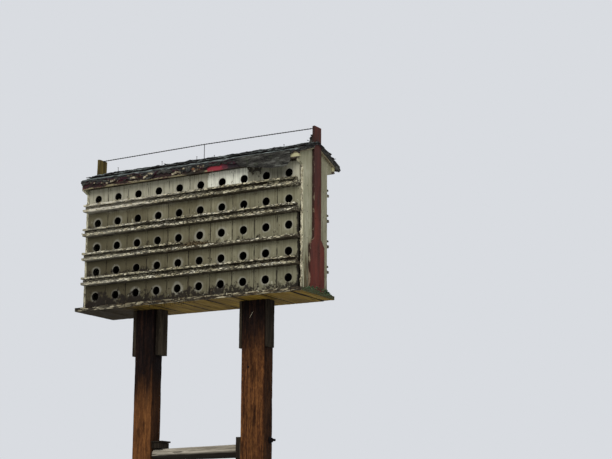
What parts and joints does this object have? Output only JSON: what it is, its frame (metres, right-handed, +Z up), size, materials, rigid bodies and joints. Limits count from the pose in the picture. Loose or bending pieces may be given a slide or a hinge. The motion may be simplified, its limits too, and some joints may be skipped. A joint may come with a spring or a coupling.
{
  "type": "multi-unit birdhouse",
  "caption": "Weathered timber colony birdhouse with tiers of round-entrance nest compartments on both long sides, railed porches, gable roof and perch wire, raised on timber posts.",
  "frame": {"origin": "middle of the left post's foot, at ground level", "axes": "+X along the house to the right, +Y from the front entrances to the back, +Z up"},
  "size_m": [1.809, 0.556, 4.1881],
  "materials": {
    "post_timber": "weathered stained timber, matt",
    "weathered_timber": "bare weathered timber, matt",
    "pole_timber": "bare weathered round timber, matt",
    "deck_timber": "bare timber with peeling paint on the lip, matt",
    "panel_paint": "weathered pale paint on timber, matt",
    "end_wall_paint": "weathered pale paint on vertical boards, matt",
    "porch_paint": "peeling cream paint on timber, matt",
    "inner_timber": "bare timber, matt",
    "fascia_paint": "peeling dark red paint, matt",
    "roof_timber": "bare weathered timber, matt",
    "red_board_paint": "barn red paint on timber, matt",
    "bare_board": "bare weathered timber, matt",
    "roofing": "bitumen shingles with mineral granules, matt",
    "wire_steel": "rusted steel wire, matt"
  },
  "bodies": {
    "root": {"left_post": "post_timber", "right_post": "post_timber", "post_cleats": "weathered_timber", "pole_cleat": "weathered_timber", "pole_block": "weathered_timber", "cross_pole": "pole_timber", "deck_planks": "deck_timber", "front_panels_1": "panel_paint", "front_panels_2": "panel_paint", "front_panels_3": "panel_paint", "front_panels_4": "panel_paint", "front_panels_5": "panel_paint", "back_panels_1": "panel_paint", "back_panels_2": "panel_paint", "back_panels_3": "panel_paint", "back_panels_4": "panel_paint", "back_panels_5": "panel_paint", "left_end_wall": "end_wall_paint", "right_end_wall": "end_wall_paint", "eave_end_blocks": "end_wall_paint", "tier_2_floor": "porch_paint", "tier_3_floor": "porch_paint", "tier_4_floor": "porch_paint", "tier_5_floor": "porch_paint", "front_porch_rails": "porch_paint", "back_porch_rails": "porch_paint", "front_porch_risers": "porch_paint", "back_porch_risers": "porch_paint", "centre_partitions": "inner_timber", "front_dividers": "inner_timber", "back_dividers": "inner_timber", "attic_floor": "inner_timber", "front_fascia": "fascia_paint", "back_fascia": "fascia_paint", "front_roof_boards": "roof_timber", "back_roof_boards": "roof_timber", "right_gable_board": "red_board_paint", "left_gable_board": "bare_board", "front_shingles": "roofing", "back_shingles": "roofing", "ridge_cap": "roofing", "torn_roofing": "roofing", "perch_wire": "wire_steel", "wire_prop": "wire_steel"}
  },
  "joints": []
}
